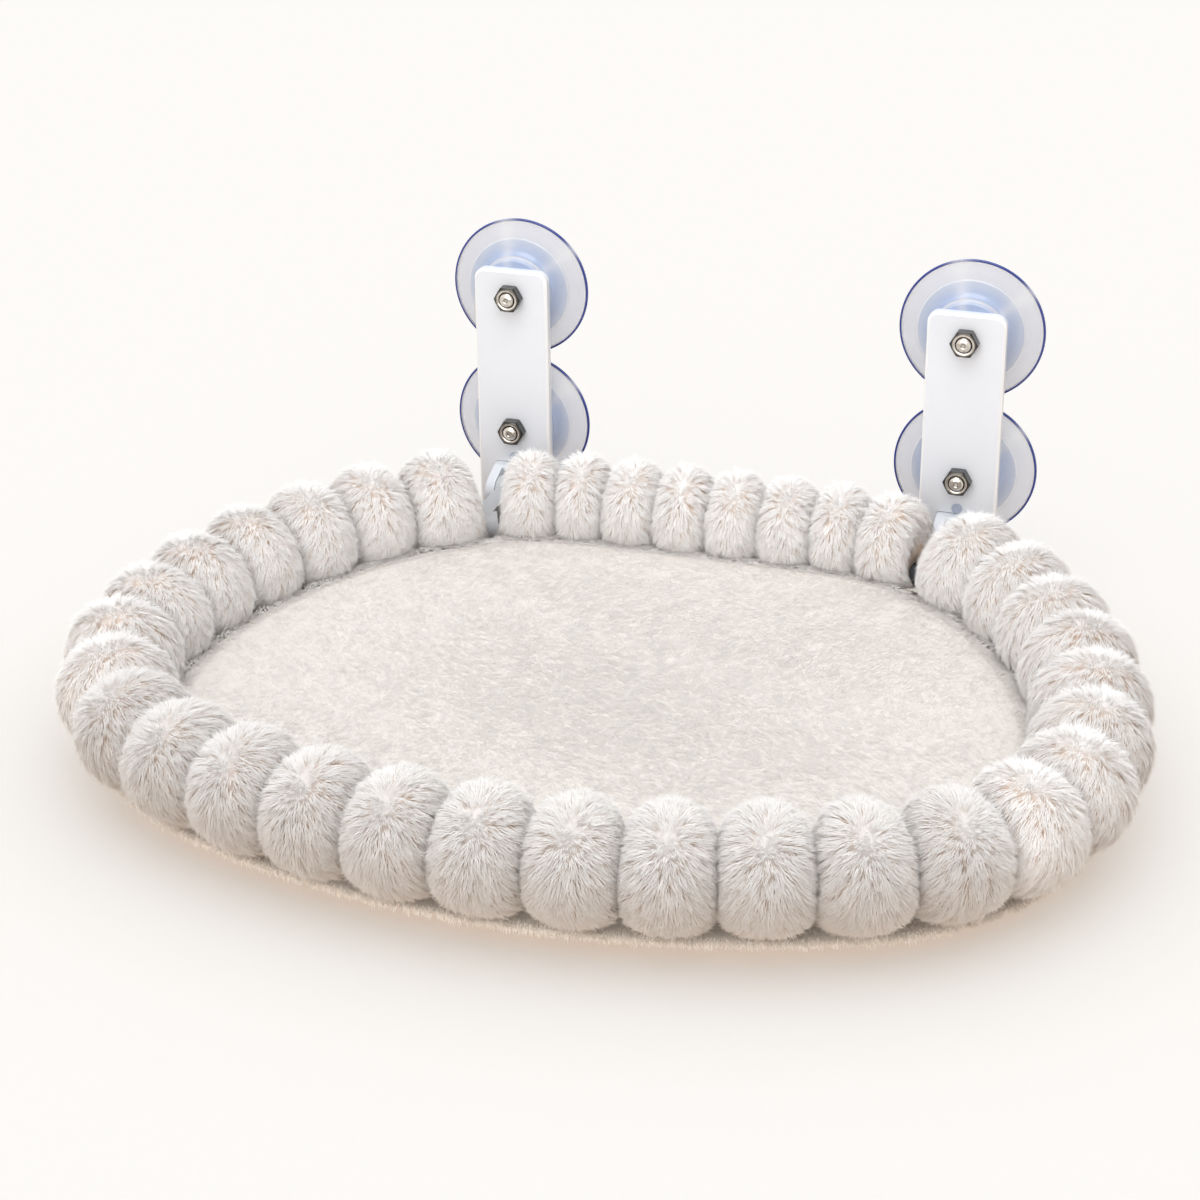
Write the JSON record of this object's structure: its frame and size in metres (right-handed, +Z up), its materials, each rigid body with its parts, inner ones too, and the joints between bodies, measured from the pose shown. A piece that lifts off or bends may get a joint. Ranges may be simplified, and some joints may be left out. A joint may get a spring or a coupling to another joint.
{
  "type": "window mounted cat perch",
  "caption": "Window perch for a cat: a plush ring with a slung seat on a folding tube frame, held on the glass by suction cup brackets.",
  "frame": {"origin": "on the window plane, halfway between the centres of the two lower suction cups", "axes": "+X to the right seen from the room, +Y through the window, +Z up; the perch reaches out along -Y"},
  "size_m": [0.5126, 0.4367, 0.1736],
  "materials": {
    "cup_vinyl": "clear soft vinyl with a blue tint",
    "nickel_steel": "nickel plated",
    "plate_plastic": "satin moulded",
    "clevis_plastic": "satin moulded",
    "arm_plastic": "satin moulded",
    "rivet_steel": "satin",
    "pad_rubber": "matt",
    "frame_steel": "powder coated",
    "long_plush": "long pile plush",
    "seat_plush": "short pile plush",
    "wadding": "bonded fibre",
    "under_fabric": "brushed knit",
    "zip_tape": "woven tape"
  },
  "bodies": {
    "brackets": {"suction_cup_upper_left": "cup_vinyl", "suction_cup_upper_right": "cup_vinyl", "suction_cup_lower_left": "cup_vinyl", "suction_cup_lower_right": "cup_vinyl", "cup_studs": "nickel_steel", "hex_nuts": "nickel_steel", "bracket_plate_left": "plate_plastic", "bracket_plate_right": "plate_plastic", "hinge_clevis_left": "clevis_plastic", "hinge_clevis_right": "clevis_plastic", "hinge_rivets": "rivet_steel", "hinge_pin_left": "rivet_steel", "hinge_pin_right": "rivet_steel", "pin_clips": "rivet_steel"},
    "perch": {"arm_left": "arm_plastic", "arm_right": "arm_plastic", "heel_pads": "pad_rubber", "rear_rail": "frame_steel", "hoop_left": "frame_steel", "hoop_right": "frame_steel", "hoop_sleeve": "frame_steel", "spring_pins": "rivet_steel", "bolster_back": "long_plush", "bolster_rear_left": "long_plush", "bolster_rear_right": "long_plush", "bolster_side_left": "long_plush", "bolster_side_right": "long_plush", "bolster_front": "long_plush", "seat_cover": "seat_plush", "seat_wadding": "wadding", "under_cover": "under_fabric", "cover_zip": "zip_tape", "zip_slider": "rivet_steel"}
  },
  "joints": [
    {"name": "perch_fold", "type": "hinge", "parent": "brackets", "child": "perch", "pos_m": [0, -0.031, -0.033], "axis": [-1, 0, 0], "range_deg": [0, 85], "deforming": ["bolster_back", "bolster_rear_left", "bolster_rear_right"]}
  ]
}
